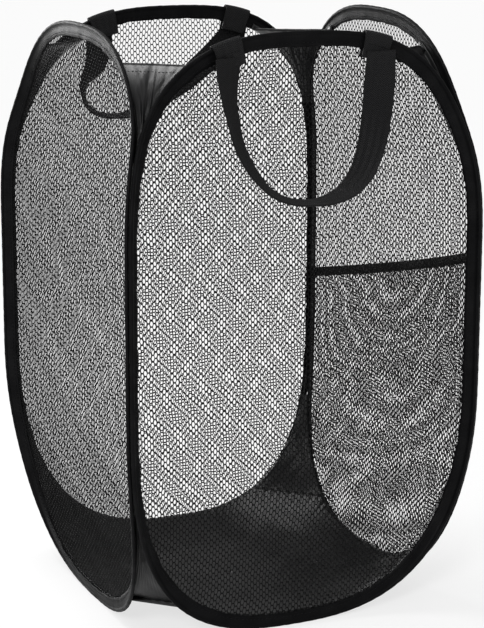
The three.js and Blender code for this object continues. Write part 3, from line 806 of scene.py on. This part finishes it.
def makeNet(side, seed):
    def isIn(x, z):
        return beyondSeam(x, z)[0] < net["underCasing"]

    def placeAt(x, z):
        return onWall(*warped(x, z, seed), 0)

    made = netPart(isIn, placeAt, np.random.default_rng(seed).uniform(-3, 3, 2))
    piece = wallPiece(side + "_net", side, [made], yarnFinish, [side + "_net_wall"])


for number, side in enumerate(sideTurns):
    makeNet(side, 100 + 7 * number)
print("net walls made")

# Pocket: a second net outside the right wall, with a tape folded over its sloping edge
pocket = {
    "topFront": 352,
    "topBack": 268,
    "sag": 3,
    "bulge": 16,
    "rimOff": 0.7,  # outwards from the wall's net, at the casing
    "footOff": 0.8,
    "standOff": 2.3,
    "rimWidth": 9,  # from the casing, across which it comes away from the wall
    "underSeam": 0.5,
    "underBinding": 4.5,
    "shift": (1.3, 0.7),  # of its holes
    "seed": 171,
    "flat": (0.331, 0.295),  # metres, cut size
    "cutShare": 0.405,
}
binding = {
    "height": 10,
    "half": 1.5,
    "thickness": 0.7,
    "over": 0.3,  # above the net's own edge
    "past": 3,  # the wall's seam
    "steps": 190,
    "ripple": 0.35,
    "rippleWave": 23,
    "stitchUp": 2.4,  # from the tape's lower edge
    "stitchInset": 4,
}


def pocketTop(x):
    share = x / hoop["hamperWidth"] + 0.5
    line = pocket["topFront"] + (pocket["topBack"] - pocket["topFront"]) * share
    return line - 4 * pocket["sag"] * share * (1 - share) - hoop["hamperHeight"] / 2


def pocketOff(x, z):
    halfHeight = hoop["hamperHeight"] / 2
    sideways = 1 - np.minimum(1, np.abs(x) / np.maximum(seamReach(z), 1e-9)) ** 2
    upwards = np.clip((z + halfHeight) / (pocketTop(x) + halfHeight), 0, 1)
    full = pocket["footOff"] + pocket["standOff"] * upwards + pocket["bulge"] * sideways * upwards**2
    inwardShare = np.clip(-beyondSeam(x, z)[0] / pocket["rimWidth"], 0, 1)
    return pocket["rimOff"] + (full - pocket["rimOff"]) * inwardShare


def bindingSection():
    half, height, thick = binding["half"], binding["height"], binding["thickness"]
    turn = np.linspace(0, np.pi, 9)
    outer = np.stack([half * np.cos(turn), -half + half * np.sin(turn)], 1)
    near, far = [[half, -height], [half, -height / 2]], [[-half, -height / 2], [-half, -height]]
    outer = np.concatenate([near, outer, far])
    inner = outer.copy()
    inner[:, 0] *= (half - thick) / half
    inner[2:-2, 1] = (outer[2:-2, 1] + half) * (half - thick) / half - half
    return np.concatenate([outer, inner[::-1]])


def makePocket():
    def isIn(x, z):
        return (beyondSeam(x, z)[0] < pocket["underSeam"]) & (z < pocketTop(x) - pocket["underBinding"])

    def placeAt(x, z):
        x, z = warped(x, z, pocket["seed"])
        return onWall(x, z, pocketOff(x, z))

    sheet = netPart(isIn, placeAt, pocket["shift"])
    piece = wallPiece("pocket_net_cloth", "right", [sheet], yarnFinish, ["pocket_net"])
    section = bindingSection()
    reach = seamReach(pocketTop(0)) + binding["past"]
    along = np.linspace(-reach, reach, binding["steps"])
    wave = binding["ripple"] * wander(along, binding["rippleWave"], 5)[:, None]
    x = np.broadcast_to(along[:, None], (len(along), len(section)))
    down = np.clip(-section[None, :, 1] / binding["height"], 0, 1)
    z = pocketTop(x) + binding["over"] + section[None, :, 1] + wave * down
    off = pocketOff(x, z) - section[None, :, 0] - 0.15 * wave
    tape = sweep(onWall(x, z, off), along, girth(section), closed=False)
    edge = wallPiece("pocket_edge_binding", "right", [tape], tapeFinish, ["pocket_binding"])
    rim = np.linspace(-reach + binding["stitchInset"], reach - binding["stitchInset"], 400)
    level = pocketTop(rim) + binding["over"] - binding["height"] + binding["stitchUp"]
    off = pocketOff(rim, level)
    rows = []
    for half in (binding["half"], -binding["half"]):
        line = onWall(rim, level, off + half)
        rows.append(stitchRow(line, line - onWall(rim, level, off), casing["stitchSpacing"]))
    sewn = wallPiece("pocket_binding_stitches", "right", rows, threadFinish)


makePocket()
print("pocket made")

# Gussets and floor ears: sheets between two neighbouring seams, sewn to the inside of the casings
gusset = {
    "bottom": 450.8,
    "top": 530.88,
    "thickness": 0.7,
    "sag": 5,
    "rows": 60,
    "columns": 56,
    "columnPitch": 2.4,
    "flap": 5,  # how far it goes under the stitches of each casing
    "creases": ((0.9, 41), (0.3, 27)),  # height and wavelength
    "fold": 2.2,  # the height of the one sharp fold
    "foldAt": 0.32,
    "foldWidth": 0.03,
    "gathers": 24,
    "gatherHeight": 0.35,
    "hemFold": 0.75,  # the radius at which the hem turns over
    "hemRows": 4,
    "stitchSpacing": 3.6,
    "flat": (0.11, 0.1),  # metres, the rectangle that its triangle is cut from
    "area": 0.006,
}
corners = ["front_right", "back_right", "back_left", "front_left"]
flapRows = 5
sewnInside = casing["half"] + 0.5  # from the middle of a casing's layers to a cloth sewn to its inside
intoHamper = np.array([-1, 1, 0]) / math.sqrt(2)


# Rows of points from the front wall's right seam to the right wall's left seam
def cornerGrid(heights, columns, flap):
    reach = reachAtSeam(heights - hoop["hamperHeight"] / 2)
    left = [stand(besideHoop(reach, out, sewnInside), "front") for out in np.linspace(flap, 0, flapRows)]
    right = [np.stack([-points[:, 1], -points[:, 0], points[:, 2]], 1) for points in left[::-1]]
    share = np.linspace(0, 1, columns)[1:-1]
    middle = [left[-1] + (right[0] - left[-1]) * s for s in share]
    shares = np.concatenate([np.zeros(flapRows), share, np.ones(flapRows)])
    return np.stack([*left, *middle, *right], 1), shares


def makeGusset(number, corner):
    rise = np.linspace(gusset["bottom"], gusset["top"], gusset["rows"])
    grid, share = cornerGrid(rise, gusset["columns"], gusset["flap"])
    up = ((rise - gusset["bottom"]) / (gusset["top"] - gusset["bottom"]))[:, None]
    belly = np.sin(np.pi * share)[None]
    along = np.cumsum(np.full(len(share), gusset["columnPitch"]))[None]
    (high, wide), (low, narrow) = gusset["creases"]
    creases = high * wander(along + 34 * up, wide, 50 + number) * belly
    creases = creases + low * wander(along * 0.7 - 60 * up, narrow, 60 + number) * belly
    fromFold = (share[None] - gusset["foldAt"] - 0.05 * up) / gusset["foldWidth"]
    fold = gusset["fold"] * np.exp(-(fromFold**2)) * (1 - up) ** 0.5 * belly
    gather = gusset["gatherHeight"] * np.sin(2 * np.pi * share[None] * gusset["gathers"]) * np.exp(-up * 9)
    push = gusset["sag"] * up * belly + creases * (0.35 + 0.65 * up) + fold + gather
    grid = grid + push[..., None] * intoHamper
    # the hem turns over at the top and comes down again on the inside
    over = np.linspace(0, np.pi, 6)[1:]
    bend = gusset["hemFold"]
    curl = [grid[-1] + intoHamper * bend * (1 - math.cos(a)) + [0, 0, bend * math.sin(a)] for a in over]
    hemRows = gusset["hemRows"]
    down = [grid[-1 - k] + intoHamper * (2 * bend + 0.2 * math.sin(k)) for k in range(1, hemRows + 1)]
    sheet = thickSheet(np.concatenate([grid, np.stack(curl), np.stack(down)]), gusset["thickness"])
    parts = [turnedPart(sheet, number)]
    made = makePiece("gusset_cloth_" + corner, parts, nylonFinish, None, ["gusset_" + corner])
    line = grid[-1 - hemRows] - intoHamper * gusset["thickness"] / 2
    ups = np.broadcast_to(-intoHamper, line.shape)
    parts = [turnedPart(stitchRow(line[3:-3], ups[3:-3], gusset["stitchSpacing"]), number)]
    hem = makePiece("gusset_hem_stitches_" + corner, parts, threadFinish, None)
    return made, hem


def foldGusset(pieces, corner):
    across = {  # the two bodies and where the sheet starts and stops turning, in metres
        "front_left": ("front_panel", "left_panel", (-0.10, -0.17, 0.48), (-0.17, -0.10, 0.48)),
        "back_left": ("left_panel", "back_panel", (-0.17, 0.10, 0.48), (-0.10, 0.17, 0.48)),
        "front_right": ("front_panel", "right_panel", (0.10, -0.17, 0.48), (0.17, -0.10, 0.48)),
    }
    for piece in pieces:
        if corner in across:
            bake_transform(piece)
        else:
            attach(piece, "right_panel")
            flatten(piece)


for number, corner in enumerate(corners):
    cloth, hem = makeGusset(number, corner)
    foldGusset((cloth, hem), corner)
print("gussets made")

# Floor: one nylon sheet that rests on the ground and rises to the hoops' feet, with an ear at each corner
floor = {
    "thickness": 0.8,
    "clear": 0.25,  # of the ground
    "earTop": 130,
    "edgeTop": 34,
    "earOverlap": 3,
    "restShare": 0.5,
    "rise": 1.6,
    "rings": 46,
    "seamSteps": 90,
    "chordSteps": 40,
    "flap": 5,
    "earRows": 44,
    "earColumns": 56,
    "radials": ((0.9, 9, 2), (0.7, 14, 0.6), (0.5, 31, 0)),  # wrinkles: height, number, phase
    "puckerWave": 9,  # between the stitches along the rim
    "puckerFrom": 0.86,
    "pleats": 17,
    "pleatHeight": 0.55,
    "earSag": 2.5,
    "foldKeep": 0.04,
    "flat": (0.39, 0.39),  # metres, the square that it is cut from
    "area": 0.124,  # square metres, with the sides hollowed out between the ears
}


def floorRim(out):
    edge = float(reachAtSeam(floor["edgeTop"] - hoop["hamperHeight"] / 2))
    line = stand(besideHoop(np.linspace(-edge, edge, floor["seamSteps"]), out, sewnInside), "front")
    points = []
    for quarter in range(4):
        here, after = turned(line, quarter), turned(line, quarter + 1)
        share = np.linspace(0, 1, floor["chordSteps"])[1:-1, None]
        points += [here, here[-1] + (after[0] - here[-1]) * share]
    return np.concatenate(points)


def floorBottom():
    rim = floorRim(0)
    shares = np.linspace(0.002, 1, floor["rings"])[:, None]
    level = floor["thickness"] / 2 + floor["clear"]
    lift = np.clip((shares - floor["restShare"]) / (1 - floor["restShare"]), 0, None) ** floor["rise"]
    angle = np.arctan2(rim[:, 1], rim[:, 0])
    grid = rim[None] * shares[..., None]
    grid[..., 2] = level + (rim[None, :, 2] - level) * lift
    x, y = grid[..., 0], grid[..., 1]
    belly = np.sin(np.pi * shares)
    radial = sum(height * np.sin(count * angle + phase) for height, count, phase in floor["radials"])
    wrinkle = 0.45 * (1 + radial)[None] * belly**0.8 * shares**2
    wrinkle += 0.5 * (2 + wander(x + 0.5 * y, 90, 7)) * belly**0.8
    wrinkle += 0.3 * wander(y - 0.7 * x, 70, 9) * belly
    nearRim = np.clip((shares - floor["puckerFrom"]) / 0.14, 0, 1)
    pucker = 0.5 * np.sin(lengthAlong(rim) * 2 * np.pi / floor["puckerWave"])[None] * nearRim
    grid[..., 2] += wrinkle + pucker + 0.4 * lift
    grid = np.concatenate([grid, np.stack([floorRim(out) for out in (floor["flap"] / 2, floor["flap"])])])
    bottom = thickSheet(np.concatenate([grid, grid[:, :1]], 1), floor["thickness"])
    # the cloth's map is the plan
    for faces, places in zip(bottom["faces"], bottom["cloth"]):
        places[:] = bottom["points"][faces][..., :2]
    return bottom


def makeFloor():
    parts = [floorBottom()]
    rise = np.linspace(floor["edgeTop"] - floor["earOverlap"], floor["earTop"], floor["earRows"])
    ear, share = cornerGrid(rise, floor["earColumns"], floor["flap"])
    up = ((rise - floor["edgeTop"]) / (floor["earTop"] - floor["edgeTop"]))[:, None]
    share, belly = share[None], np.sin(np.pi * share)[None]
    for quarter in range(4):
        pleats = floor["pleatHeight"] * np.sin(2 * np.pi * share * floor["pleats"] + 3 * up + quarter)
        pleats = pleats * np.clip(up * 1.6, 0.1, 1)
        sag = floor["earSag"] * belly * np.sin(np.pi * np.clip(up, 0, 1))
        sag = sag + 0.8 * belly * wander(60 * up + 40 * share, 37, 80 + quarter)
        push = (pleats * belly**0.3 + sag)[..., None] * intoHamper
        parts.append(turnedPart(thickSheet(ear + push, floor["thickness"]), quarter))
    made = makePiece("floor_cloth", parts, nylonFinish, "front_panel", ["floor_sheet"])
    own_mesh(made)


makeFloor()
print("floor made")

# Handles: webbing that hangs in a loop from two ends folded over the rim
handle = {
    "width": 28,
    "thickness": 1.7,
    "halfSpan": 75,
    "roundness": {"front": (2.45, 2.45), "back": (1.65, 2.45)},  # of the loop's left and right half
    "clearance": 6,
    "dropShare": 0.75,  # of half the loop, by which it has come away from the wall
    "twistAt": (0, 0.07, 0.18, 0.33, 0.5, 0.65, 0.8, 1),  # shares of half the loop
    "leftTwist": (12, 30, 44, 50, 56, 68, 80, 90),  # degrees
    "rightTwist": (4, 20, 38, 50, 62, 72, 82, 90),
    "hang": {"front": (127, 6), "back": (93, -42)},  # how far down the loop hangs, and to its left
    "straightShare": 0.4,  # of half the loop, along which it still leaves the rim straight
    "twistShare": {"front": 1, "back": -1},  # the back handle has fallen over the other way
    "cup": 0.5,  # how far the webbing curls across its width, in waves of cupWave
    "cupWave": 88,
    "steps": 190,
    "startOff": 1.1 + 1.6 + 1 + 0.9,  # the CAD's play, anchor, play and half a strap, outside the bead
}
anchor = {
    "thickness": 1.5,
    "play": 0.9,
    "tail": 8,
    "stitchInset": 3,
    "stitchLevels": (-6, 4.5),  # out from the seam
    "stitchSpacing": 3.4,
}


def webbingSection():
    half, thin = handle["width"] / 2, handle["thickness"] / 2
    across = np.linspace(-1, 1, 15)
    edge = np.linspace(-np.pi / 2, np.pi / 2, 5)[1:-1]
    face = np.stack([across * (half - thin), np.full(15, thin)], 1)
    end = np.stack([half - thin + thin * np.cos(edge[::-1]), thin * np.sin(edge[::-1])], 1)
    return np.concatenate([face, end, -face, -end])


# The loop's middle line, in its wall's own axes, and how far along it and how much it has twisted
def loopLine(side, start):
    turn = np.linspace(0, np.pi, 4001)
    power = 2 / np.where(turn < np.pi / 2, *handle["roundness"][side])
    across = -handle["halfSpan"] * np.sign(np.cos(turn)) * np.abs(np.cos(turn)) ** power
    drop, sway = handle["hang"][side]
    height = start[2] - drop * np.abs(np.sin(turn)) ** power
    share = np.minimum(turn, np.pi - turn) / (np.pi / 2)
    firstOff = float(wallDepth(start[2])) - 1 - start[1]
    lastOff = handle["width"] / 2 + handle["clearance"]
    off = firstOff + (lastOff - firstOff) * smooth(share / handle["dropShare"])
    across -= sway * np.sin(turn) * smooth(share / handle["straightShare"])
    line = np.stack([across, wallDepth(height) - 1 - off, height], 1)
    twists = [np.interp(share, handle["twistAt"], handle[half]) for half in ("leftTwist", "rightTwist")]
    if side == "back":
        twists = [smooth(share / handle["straightShare"]) * twists[1]] * 2
    steps = lengthAlong(line)
    at = np.linspace(0, steps[-1], handle["steps"])
    twist = np.interp(at, steps, np.where(turn < np.pi / 2, *twists))
    twist = np.radians(twist) * handle["twistShare"][side]
    blur = np.full(17, 1 / 17)
    return pointsAt(at, steps, line), at, np.convolve(np.pad(twist, len(blur) // 2, "edge"), blur, "valid")


def makeHandle(side):
    upper = slice(hoop["samples"] // 4, hoop["samples"] // 2 + 1)
    place = float(np.interp(-handle["halfSpan"], -hoopLine["edge"][upper, 0], hoopLine["reach"][upper]))
    start = besideHoop(place, 0, -(hoop["beadRadius"] + handle["startOff"]))
    line, at, twist = loopLine(side, start)
    along = unit(np.gradient(line, axis=0))
    away = unit(np.cross([0, 1, 0], along))
    outward = np.cross(away, along)
    wide = away * np.cos(twist)[:, None] + outward * np.sin(twist)[:, None]
    thick = np.cross(along, wide)
    section = webbingSection()
    cup = handle["cup"] * wander(at, handle["cupWave"], 11 + sideTurns[side])
    across, raised = section[None, :, :1], section[None, :, 1:]
    raised = raised + cup[:, None, None] * (across / (handle["width"] / 2)) ** 2
    sections = line[:, None] + wide[:, None] * across + thick[:, None] * raised
    strap = sweep(sections, at, girth(section), closed=False)
    replaces = [side + "_handle_strap"]
    wallPiece(side + "_strap", side, [strap], webbingFinish, replaces, body="handle")
    makeAnchor(side, "right", place)
    makeAnchor(side, "left", hoopLength - place)


def makeAnchor(side, name, middle):
    thick, play, tail = anchor["thickness"], anchor["play"], anchor["tail"]
    radius = hoop["beadRadius"] + play + thick / 2
    turn = np.linspace(-np.pi / 2, np.pi / 2, 17)
    down = np.linspace(0, 1, 22)[1:]
    outside = np.stack([np.linspace(-tail, beadOut, 22)[:-1], np.full(21, -radius)], 1)
    over = np.stack([beadOut + radius * np.cos(turn), radius * np.sin(turn)], 1)
    flat = casing["half"] + play + thick / 2
    inside = np.stack([beadOut - (beadOut + tail) * down, radius + (flat - radius) * smooth(down / 0.6)], 1)
    path = np.concatenate([outside, over, inside])
    wide = np.linspace(-handle["width"] / 2, handle["width"] / 2, 19)
    part = thickSheet(besideHoop(middle + wide, path[:, :1], path[:, 1:]), thick)
    title = f"{side}_anchor_{name}"
    wallPiece(title, side, [part], webbingFinish, [f"{side}_handle_anchor_{name}"])
    # a box of stitches on the inside of the tail, and one row on its outside
    inset = handle["width"] / 2 - anchor["stitchInset"]
    box = middle + np.linspace(-inset, inset, 40)
    low, high = anchor["stitchLevels"]
    rise = np.linspace(low, high, 20)
    top = flat + thick / 2
    rows = []
    for reach, out, level, face in (
        (box, high, -radius - thick / 2, -1),
        (box, low, top, 1),
        (box, high, top, 1),
        (box[0], rise, top, 1),
        (box[-1], rise, top, 1),
    ):
        line = besideHoop(reach, out, level)
        ups = face * (besideHoop(reach, out, level + 1) - line)
        rows.append(stitchRow(line, ups, anchor["stitchSpacing"]))
    wallPiece(title + "_stitches", side, rows, threadFinish)


for side in ("front", "back"):
    makeHandle(side)
print("handles made")
